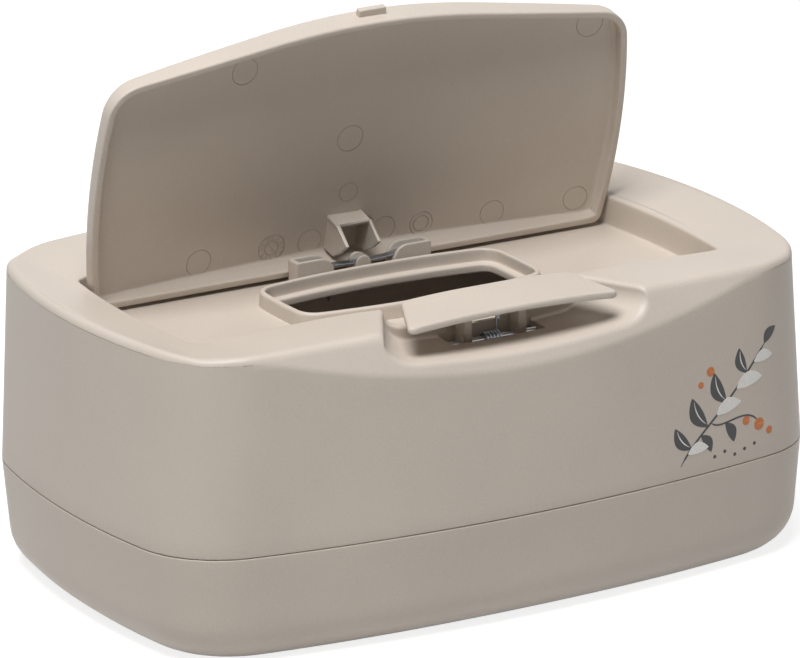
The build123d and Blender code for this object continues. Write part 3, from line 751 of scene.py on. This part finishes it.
def button_ring(down, shrink=1.0):
    """Ring of the flat plate, at a depth below its top."""
    points = ring(button_turn, shrink * flat_reach(button_turn, 0.0), 0.0, BUTTON_POLE)
    points[:, 2] = -down
    return points


button_profile = carry([button_ring(0, 0), button_ring(0),
                        button_ring(BUTTON_THICK), button_ring(BUTTON_THICK, 0)],
                       [0, 1.0, 0.7, 0], [16, 1, 16, 1], arc_points=6, closed=False)
across, along = button_profile[..., 0], button_profile[..., 1]
fall_forward = (BUTTON_BACK - along) * BUTTON_FALL / button_length
button_profile[..., 2] += BUTTON_TOP - fall_forward - across**2 / (2 * ARCH_RADIUS)
button = write_piece("press_button", [(button_profile, False, True)])
describe(button)

AXLE_Y, AXLE_Z, EYE_RADIUS, ARM_NEAR, ARM_FAR, HOOK_HALF = -58.5, 88.6, 3.0, 8.5, 11.5, 4.0
arm = [(AXLE_Y - EYE_RADIUS, AXLE_Z), (AXLE_Y + EYE_RADIUS, AXLE_Z), (-56.1, 103.1), (-56.1, 104.5),
       (AXLE_Y - EYE_RADIUS, 103.9)]
hook = [(-57.7, 96.7), (-53.0, 96.7), (-55.5, 101.1), (-55.5, 104.5), (-57.7, 104.5)]
eye = cylinder_outline(AXLE_Y, AXLE_Z, EYE_RADIUS)
arms = [(arm, 0, *sided(sign, ARM_NEAR, ARM_FAR)) for sign in (-1, 1)]
arms += [(eye, 0, *sided(sign, ARM_NEAR - 0.02, ARM_FAR + 0.02)) for sign in (-1, 1)]
button_arms = write_plates("button_arms", [*arms, (hook, 0, -HOOK_HALF, HOOK_HALF)], 0.25)
describe(button_arms)

pieces = [(piece, "housing", ["housing"]) for piece in (housing, collar_piece, saddle, well, sockets, tongue)]
pieces += [(leaf, "housing", ["leaf_spring"]), (tray, "tray", ["base_tray"])]
pieces += [(piece, "lid", ["lid"]) for piece in (lid, catch, hood)]
pieces += [(piece, "button", ["button"]) for piece in (button, button_arms)]
pieces += [(block, "housing", ["housing"]) for block in seat_blocks]

# %% [markdown]
# ## Marks left by the mould
#
# The panel of a moulded lid shows faint circles where round pins pushed it out of the mould, and
# two small round inserts. Each circle is a very thin bead, half sunk into the panel. The inserts
# get a plain dial with ticks and a plain double ring.

# %% Mould marks
def panel_height(x):
    return PANEL - x**2 / (2 * CROWN_RADIUS)


def bead(x, y, radius, tube, points=56):
    """Thin ring on the panel's inner face: a small circle carried round a larger one."""
    long_way = np.linspace(0, 2 * np.pi, points, endpoint=False)[:, None]
    small = np.linspace(0, 2 * np.pi, 6, endpoint=False)[None, :]
    out = radius + tube * np.cos(small)
    px, py = x + out * np.cos(long_way), y + out * np.sin(long_way)
    return np.stack([px, py, panel_height(px) + 0.45 * tube * np.sin(small)], axis=-1), True, True


def tick(x, y, angle, near, far, half_width):
    """Small four-sided bar that points to the middle of a dial."""
    along = np.array([near, near, far, far])
    across = np.array([-half_width, half_width, half_width, -half_width])
    px = x + along * np.cos(angle) - across * np.sin(angle)
    py = y + along * np.sin(angle) + across * np.cos(angle)
    low = np.stack([px, py, panel_height(px) + 0.2], axis=-1)
    high = np.stack([px, py, panel_height(px) - 0.16], axis=-1)
    centre_low, centre_high = low.mean(axis=0), high.mean(axis=0)
    return np.stack([np.tile(centre_low, (4, 1)), low, high, np.tile(centre_high, (4, 1))]), False, True


pin_circles = [(-1.0, -5.1, 4.7), (0.6, 15.1, 3.4), (-12.3, 31.4, 4.4), (15.4, 31.2, 4.4), (-54.3, 31.2, 4.6),
               (56.3, 31.6, 4.4), (87.2, 30.4, 4.4), (-43.8, -37.0, 4.7), (84.2, -35.6, 4.7)]
DIAL, DOUBLE_RING, PIN_BEAD, INSERT_BEAD = (-26.7, 31.2), (29.7, 31.6), 0.13, 0.2
tick_turns = np.linspace(0, 2 * np.pi, 12, endpoint=False)
marks = [bead(x, y, radius, PIN_BEAD) for x, y, radius in pin_circles]
marks += [bead(*DIAL, radius, INSERT_BEAD) for radius in (4.9, 2.5)]
marks += [bead(*DOUBLE_RING, radius, INSERT_BEAD) for radius in (4.2, 2.8)]
marks += [tick(*DIAL, angle, 3.2, 4.4, 0.17) for angle in tick_turns]
marks += [tick(*DIAL, np.radians(50), -1.8, 1.8, 0.2)]
open_marks = [(turn_points(grid, OPEN, HINGE_Y, HINGE_Z), *wraps) for grid, *wraps in marks]
mould_marks = write_piece("mould_marks", open_marks)
describe(mould_marks)

# %% [markdown]
# ## The print on the front
#
# Pad printing leaves a film of ink a few hundredths of a millimetre thick. Each motif is a small
# grid drawn flat in X and Z, in millimetres, and then laid on the wall: for each point the wall's
# direction is found by repeating turn = arctan(x / distance) until it settles, which takes a few
# rounds because the wall is nearly flat. The design is a sprig with round fruit.

# %% Ink on the wall
INK_ROOT = -0.05


def on_wall(x, z, lift):
    """Points on the front wall at (x, z), lifted off it by a film's thickness."""
    y = np.full_like(x, -80.0)
    for _ in range(8):
        turn_here = np.arctan2(x, POLE_Y - y)
        y = POLE_Y - wall_reach(turn_here.ravel(), z.ravel()).reshape(x.shape) * np.cos(turn_here)
    return np.stack([x, y - lift, z], axis=-1)


def leaf_shape(x, z, angle, length, width, bend=0.12):
    """Leaf: half width = width x sin(pi s)^0.8 along an axis that bends like a parabola."""
    s = np.linspace(0, 1, 25)[:, None]
    t = np.linspace(-1, 1, 9)[None, :]
    along = s * length + 0 * t
    across = t * width * np.sin(np.pi * s) ** 0.8 + bend * length * 4 * s * (1 - s)
    return (x + along * np.cos(angle) - across * np.sin(angle),
            z + along * np.sin(angle) + across * np.cos(angle))


def disc_shape(x, z, radius):
    r = np.linspace(0, 1, 6)[:, None]
    a = np.linspace(0, 2 * np.pi, 29)[None, :]
    return x + radius * r * np.cos(a), z + radius * r * np.sin(a)


def ribbon_shape(xs, zs, width):
    """Band of one width along a smooth curve through a few points, tapered at both ends."""
    knots = np.arange(len(xs))
    s = np.linspace(0, len(xs) - 1, 70)
    powers = len(xs) - 1
    x, z = np.polyval(np.polyfit(knots, xs, powers), s), np.polyval(np.polyfit(knots, zs, powers), s)
    dx, dz = np.gradient(x), np.gradient(z)
    size = np.hypot(dx, dz)
    half = width / 2 * np.clip(np.minimum(s, s[-1] - s) * 4, 0.35, 1)
    t = np.linspace(-1, 1, 3)[:, None]
    return (x + t * half * -dz / size).T, (z + t * half * dx / size).T


def border(grid):
    """The points round the edge of a grid, in order."""
    return np.concatenate([grid[0, :-1], grid[:-1, -1], grid[-1, :0:-1], grid[:0:-1, 0]])


def ink(name, shapes, lift):
    """One film of ink from flat shapes, with a real thickness so that it is a closed skin."""
    grids = []
    for x, z in shapes:
        face, back = on_wall(x, z, lift), on_wall(x, z, INK_ROOT)
        edge_band = np.stack([border(face), border(back)])
        grids += [(face, False, False), (back, False, False), (edge_band, False, True)]
    return write_piece(name, grids, 60)


stem_x, stem_z = [58.0, 66.0, 75.0, 85.0, 93.0], [41.0, 49.5, 57.0, 66.5, 75.5]
stem = ribbon_shape(stem_x, stem_z, 0.75)
twig = ribbon_shape([70.5, 76.5, 84.0, 90.5], [53.3, 52.0, 52.8, 49.5], 0.6)
charcoal_leaves = [leaf_shape(62.5, 46.0, 2.25, 10.5, 2.3), leaf_shape(69.2, 52.2, 2.1, 12.5, 2.7),
                   leaf_shape(77.0, 58.8, 2.0, 12.0, 2.6), leaf_shape(85.5, 67.0, 1.9, 9.5, 2.1),
                   leaf_shape(93.0, 75.5, 0.75, 7.0, 1.8), leaf_shape(76.5, 52.0, -1.1, 8.0, 1.9),
                   leaf_shape(66.5, 49.8, -1.0, 7.5, 1.8)]
white_leaves = [leaf_shape(73.0, 55.4, 0.25, 10.5, 2.4), leaf_shape(81.3, 62.6, 0.2, 11.0, 2.5),
                leaf_shape(88.6, 70.3, 0.1, 8.0, 2.0), leaf_shape(61.0, 44.6, 0.1, 8.5, 1.9)]
veins = [leaf_shape(x, z, angle, length * 0.8, 0.22) for x, z, angle, length in
         ((62.0, 46.8, 2.25, 10.5), (68.8, 53.2, 2.1, 12.5), (76.6, 59.8, 2.0, 12.0), (85.3, 68.0, 1.9, 9.5))]
fruit = [disc_shape(90.8, 48.6, 2.1), disc_shape(85.3, 50.9, 1.5), disc_shape(95.2, 45.6, 1.3),
         disc_shape(70.6, 70.5, 1.6), disc_shape(66.6, 66.7, 1.1)]
seeds = [disc_shape(72.0 + 4.2 * i, 41.5 + 1.1 * np.sin(2.1 * i), 0.62) for i in range(5)]
charcoal_print = ink("print_charcoal", [stem, twig, *charcoal_leaves, *seeds], 0.05)
white_print = ink("print_white", [*white_leaves, *veins], 0.08)
orange_print = ink("print_orange", fruit, 0.08)
for piece in (charcoal_print, white_print, orange_print):
    describe(piece)

pieces += [(mould_marks, "lid", ["lid"]), (charcoal_print, "housing", ["housing"]),
           (white_print, "housing", ["housing"]), (orange_print, "housing", ["housing"])]

# %% [markdown]
# ## Finishes
#
# The box is moulded in polypropylene of a warm grey-beige. Up close it has a fine spark-eroded
# grain that scatters the light, so highlights are broad and soft. The grain is a bump of about a
# third of a millimetre, read from Object coordinates, so it has the same size on every piece. A
# second, much larger noise shifts the colour by a hair, as flow in the mould does. Edges get a
# smoother normal and a painted highlight, a paler colour: the Bevel node gives a softened normal,
# and where it differs from the true one, there is an edge.

# %% Node helpers
def new_material(name):
    material = bpy.data.materials.new(name)
    material.use_nodes = True
    return material, material.node_tree.nodes, material.node_tree.links


def noise(nodes, links, coordinate, scale, detail=2.0, roughness=0.5):
    texture = nodes.new("ShaderNodeTexNoise")
    texture.inputs["Scale"].default_value = scale
    texture.inputs["Detail"].default_value = detail
    texture.inputs["Roughness"].default_value = roughness
    links.new(coordinate, texture.inputs["Vector"])
    return texture.outputs["Fac"]


def ramp(nodes, links, value, stops):
    """Colour ramp from (position, grey or colour) stops."""
    node = nodes.new("ShaderNodeValToRGB")
    node.color_ramp.elements[0].position = stops[0][0]
    node.color_ramp.elements[0].color = (*stops[0][1], 1)
    node.color_ramp.elements[1].position = stops[-1][0]
    node.color_ramp.elements[1].color = (*stops[-1][1], 1)
    links.new(value, node.inputs["Fac"])
    return node.outputs["Color"]


def linear(*rgb):
    """Colour as read on a screen, 0 to 255, made linear."""
    value = np.array(rgb) / 255
    return tuple(float(v) for v in np.where(value < 0.04045, value / 12.92, ((value + 0.055) / 1.055) ** 2.4))


def toned(colour, share):
    """The colour made darker or lighter by a share, and never brighter than white."""
    return [min(c * share, 1) for c in colour]

# %% Grained plastic
def moulded_plastic(name, colour, roughness, grain, highlight_gain=0.35):
    """Matte moulded plastic: colour drift, fine grain in the bump, smoother edges with a painted highlight in
    a paler colour.
    """
    material, nodes, links = new_material(name)
    shader = nodes["Principled BSDF"]
    place = nodes.new("ShaderNodeTexCoord").outputs["Object"]
    drift = noise(nodes, links, place, 22.0, 3.0)
    speck = noise(nodes, links, place, 1900.0, 1.0)
    shade = ramp(nodes, links, drift, [(0.3, toned(colour, 0.965)), (0.7, toned(colour, 1.03))])
    speckle = ramp(nodes, links, speck, [(0.25, (0.93, 0.93, 0.93)), (0.75, (1.0, 1.0, 1.0))])
    tint = nodes.new("ShaderNodeMix")
    tint.data_type, tint.blend_type = "RGBA", "MULTIPLY"
    tint.inputs["Factor"].default_value = 1.0
    links.new(shade, tint.inputs[6])
    links.new(speckle, tint.inputs[7])
    soft = nodes.new("ShaderNodeBevel")
    soft.samples = 4
    soft.inputs["Radius"].default_value = 0.0007
    true = nodes.new("ShaderNodeNewGeometry")
    difference = nodes.new("ShaderNodeVectorMath")
    difference.operation = "DOT_PRODUCT"
    links.new(soft.outputs["Normal"], difference.inputs[0])
    links.new(true.outputs["Normal"], difference.inputs[1])
    edge = ramp(nodes, links, difference.outputs["Value"], [(0.80, (1, 1, 1)), (0.985, (0, 0, 0))])
    # Painted highlight: where the softened normal differs from the true one, the edge gets a paler colour.
    edge_highlight = nodes.new("ShaderNodeMix")
    edge_highlight.data_type, edge_highlight.blend_type = "RGBA", "MIX"
    fade = nodes.new("ShaderNodeMath")
    fade.operation = "MULTIPLY"
    fade.inputs[1].default_value = highlight_gain
    links.new(edge, fade.inputs[0])
    links.new(fade.outputs[0], edge_highlight.inputs["Factor"])
    links.new(tint.outputs[2], edge_highlight.inputs[6])
    edge_highlight.inputs[7].default_value = (*toned(colour, 1.25), 1)
    links.new(edge_highlight.outputs[2], shader.inputs["Base Color"])
    rough = nodes.new("ShaderNodeMapRange")
    limits = {"From Min": 0.3, "From Max": 0.7, "To Min": roughness - 0.05, "To Max": roughness + 0.05}
    for limit, value in limits.items():
        rough.inputs[limit].default_value = value
    links.new(drift, rough.inputs["Value"])
    links.new(rough.outputs["Result"], shader.inputs["Roughness"])
    bump = nodes.new("ShaderNodeBump")
    bump.inputs["Strength"].default_value = 0.5
    bump.inputs["Distance"].default_value = grain
    links.new(noise(nodes, links, place, 2600.0, 2.0, 0.6), bump.inputs["Height"])
    links.new(soft.outputs["Normal"], bump.inputs["Normal"])
    links.new(bump.outputs["Normal"], shader.inputs["Normal"])
    shader.inputs["IOR"].default_value = 1.49
    return material


GREIGE = linear(203, 192, 180)
shell_plastic = moulded_plastic("grained_greige_plastic", GREIGE, 0.48, 0.00005)
panel_plastic = moulded_plastic("satin_greige_plastic", GREIGE, 0.40, 0.00002)

# %% [markdown]
# ### Steel and ink
#
# The leaf is cold-rolled spring steel with a blue-grey temper and fine rolling lines along its
# length. The pins are drawn rod, so their lines run along X too. Ink is a thin flat film: nearly
# matte, with a slightly uneven edge-to-edge density.

# %% Steel
def rolled_steel(name, colour, roughness):
    material, nodes, links = new_material(name)
    shader = nodes["Principled BSDF"]
    stretch = nodes.new("ShaderNodeMapping")
    stretch.inputs["Scale"].default_value = (0.02, 1.0, 1.0)
    links.new(nodes.new("ShaderNodeTexCoord").outputs["Object"], stretch.inputs["Vector"])
    lines = noise(nodes, links, stretch.outputs["Vector"], 9000.0, 3.0)
    links.new(ramp(nodes, links, lines, [(0.3, toned(colour, 0.82)), (0.7, toned(colour, 1.12))]),
              shader.inputs["Base Color"])
    links.new(ramp(nodes, links, lines, [(0.2, [roughness - 0.07] * 3), (0.8, [roughness + 0.08] * 3)]),
              shader.inputs["Roughness"])
    bump = nodes.new("ShaderNodeBump")
    bump.inputs["Strength"].default_value = 0.25
    bump.inputs["Distance"].default_value = 0.00001
    links.new(lines, bump.inputs["Height"])
    links.new(bump.outputs["Normal"], shader.inputs["Normal"])
    shader.inputs["Metallic"].default_value = 1.0
    return material


spring_steel = rolled_steel("blue_grey_spring_steel", linear(168, 176, 186), 0.34)
pin_steel = rolled_steel("drawn_pin_steel", linear(186, 186, 188), 0.28)


def printing_ink(name, colour):
    material, nodes, links = new_material(name)
    shader = nodes["Principled BSDF"]
    place = nodes.new("ShaderNodeTexCoord").outputs["Object"]
    density = noise(nodes, links, place, 1500.0, 3.0, 0.6)
    links.new(ramp(nodes, links, density, [(0.25, toned(colour, 0.88)), (0.75, toned(colour, 1.06))]),
              shader.inputs["Base Color"])
    shader.inputs["Roughness"].default_value = 0.5
    bump = nodes.new("ShaderNodeBump")
    bump.inputs["Strength"].default_value = 0.3
    bump.inputs["Distance"].default_value = 0.00002
    links.new(density, bump.inputs["Height"])
    links.new(bump.outputs["Normal"], shader.inputs["Normal"])
    return material


charcoal_ink = printing_ink("charcoal_ink", linear(62, 60, 62))
white_ink = printing_ink("white_ink", linear(236, 233, 228))
orange_ink = printing_ink("orange_ink", linear(196, 118, 66))

# %% [markdown]
# ## Every piece gets its finish and its body
#
# A piece rides on the body that carries it, so it follows that body's joint, and the solids that
# it stands for are hidden. Small steel parts keep their solids and only get a new finish.

# %% Finish and ride
finishes = {lid: panel_plastic, mould_marks: panel_plastic, hood: panel_plastic, leaf: spring_steel,
            charcoal_print: charcoal_ink, white_print: white_ink, orange_print: orange_ink}
for piece, body, nodes in pieces:
    piece.data.materials.clear()
    piece.data.materials.append(finishes.get(piece, shell_plastic))
    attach(piece, body)
    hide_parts(*nodes)
for name in ("hinge_pin_left", "hinge_pin_right", "button_axle", "button_spring"):
    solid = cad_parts[name]
    solid.data.materials.clear()
    solid.data.materials.append(spring_steel if name == "button_spring" else pin_steel)
print("pieces:", len(pieces), "and kept solids: 4")

# %% [markdown]
# ## Light and floor
#
# The picture was lit from above by one broad soft source: upward faces are almost white, the front
# is a third darker, and the inside of the open lid, which leans towards us, is darker again. One big
# disc, high up and a little to the front left, does that, and a weak world fills. The camera finds
# the world white and the floor near white, straight on or in a reflection, while the soft light
# that reaches the object comes from the weak world and a grey floor. What the camera sees of the
# floor is part glow and part matt paper, so that it keeps the object's faint shadow.

# %% Studio
world = bpy.data.worlds.new("studio")
world.use_nodes = True
sky = world.node_tree.nodes["Background"]
sky.inputs["Color"].default_value = (1, 1, 1, 1)
bpy.context.scene.world = world
bpy.context.scene.view_settings.view_transform = "Standard"


def lamp(name, place, size, watts, aim=(0.0, 0.0, 0.06)):
    light = bpy.data.lights.new(name, "AREA")
    light.shape, light.size, light.energy = "DISK", size, watts
    holder = bpy.data.objects.new(name, light)
    direction = Vector(aim) - Vector(place)
    holder.matrix_world = Matrix.Translation(place) @ direction.to_track_quat("-Z", "Y").to_matrix().to_4x4()
    bpy.context.collection.objects.link(holder)


def looked_at(tree):
    """1 where the camera looks, straight, in a reflection or through a clear piece, and 0 for light."""
    path = tree.nodes.new("ShaderNodeLightPath")
    value = path.outputs["Is Camera Ray"]
    for other in ("Is Glossy Ray", "Is Transmission Ray"):
        either = tree.nodes.new("ShaderNodeMath")
        either.operation = "MAXIMUM"
        tree.links.new(value, either.inputs[0])
        tree.links.new(path.outputs[other], either.inputs[1])
        value = either.outputs[0]
    return value


fill = 0.07
brightness = world.node_tree.nodes.new("ShaderNodeMath")
brightness.operation = "MULTIPLY_ADD"
world.node_tree.links.new(looked_at(world.node_tree), brightness.inputs[0])
brightness.inputs[1].default_value, brightness.inputs[2].default_value = 1 - fill, fill
world.node_tree.links.new(brightness.outputs[0], sky.inputs["Strength"])
lamp("overhead", (-0.45, -0.4, 1.65), 1.0, 35)

floor_mesh = bpy.data.meshes.new("floor")
floor_mesh.from_pydata([(-6, -6, 0), (6, -6, 0), (6, 6, 0), (-6, 6, 0)], [], [(0, 1, 2, 3)])
floor = bpy.data.objects.new("floor", floor_mesh)
bpy.context.collection.objects.link(floor)
paper, nodes, links = new_material("studio_paper")
nodes["Principled BSDF"].inputs["Base Color"].default_value = (0.6, 0.6, 0.6, 1)
nodes["Principled BSDF"].inputs["Roughness"].default_value = 0.9
seen = nodes.new("ShaderNodeAddShader")
glow, shade = nodes.new("ShaderNodeEmission"), nodes.new("ShaderNodeBsdfDiffuse")
glow.inputs["Strength"].default_value = 0.82
shade.inputs["Color"].default_value = (0.4, 0.4, 0.4, 1)
links.new(glow.outputs[0], seen.inputs[0])
links.new(shade.outputs[0], seen.inputs[1])
choice = nodes.new("ShaderNodeMixShader")
links.new(looked_at(paper.node_tree), choice.inputs["Fac"])
links.new(nodes["Principled BSDF"].outputs[0], choice.inputs[1])
links.new(seen.outputs[0], choice.inputs[2])
links.new(choice.outputs[0], nodes["Material Output"].inputs["Surface"])
floor_mesh.materials.append(paper)
